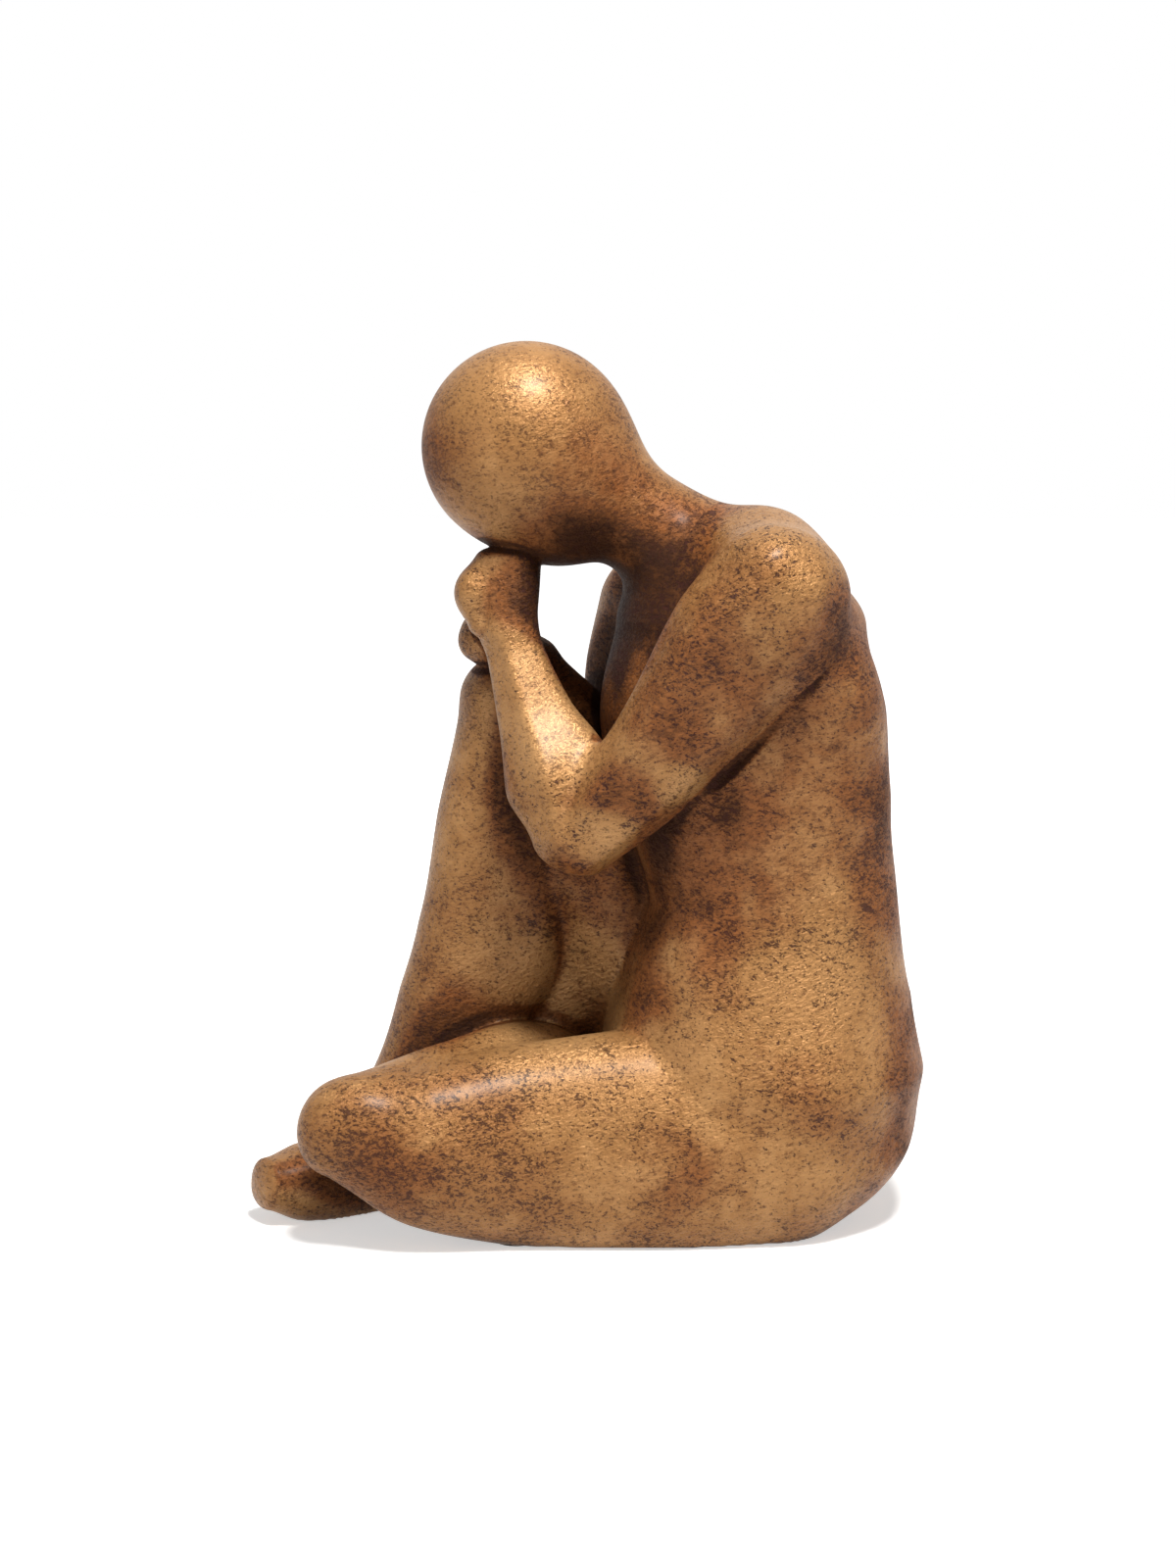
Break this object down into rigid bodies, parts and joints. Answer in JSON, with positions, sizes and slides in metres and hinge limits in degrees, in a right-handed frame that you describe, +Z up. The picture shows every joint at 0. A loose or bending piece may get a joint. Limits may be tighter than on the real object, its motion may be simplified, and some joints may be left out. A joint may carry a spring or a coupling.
{
  "type": "crouching figure sculpture",
  "caption": "Abstract decor figure of a seated, crouching person with one knee raised, forearms on the knee and the chin resting on stacked fists.",
  "frame": {"origin": "centre of the object's footprint box, on the surface that it stands on", "axes": "+Z up; -Y faces the side that the picture shows, which is the figure's own left; -X is the way that the figure looks and its knees point"},
  "size_m": [0.2086, 0.1281, 0.2731],
  "materials": {
    "resin_body": "satin antique gold-brown patina on cast resin, darker in the recesses",
    "resin_head": "satin antique gold-brown patina on cast resin, polished brighter on top",
    "resin_arms": "satin antique gold-brown patina on cast resin, brushed along the ridges",
    "resin_legs": "satin antique gold-brown patina on cast resin, dark specks",
    "steel_pin": "plain drawn steel",
    "stopper": "matte black stopper",
    "felt": "black felt"
  },
  "bodies": {
    "root": {"torso": "resin_body", "head": "resin_head", "left_arm": "resin_arms", "right_arm": "resin_arms", "left_leg": "resin_legs", "right_leg": "resin_legs", "neck_pin": "steel_pin", "left_shoulder_pin": "steel_pin", "right_shoulder_pin": "steel_pin", "left_hip_pin": "steel_pin", "right_hip_pin": "steel_pin", "chin_pin": "steel_pin", "fist_pin": "steel_pin", "knee_pin": "steel_pin", "seat_plug": "stopper", "left_thigh_pad": "felt", "left_hip_pad": "felt", "left_foot_pad": "felt", "seat_pad": "felt", "right_foot_pad": "felt"}
  },
  "joints": []
}
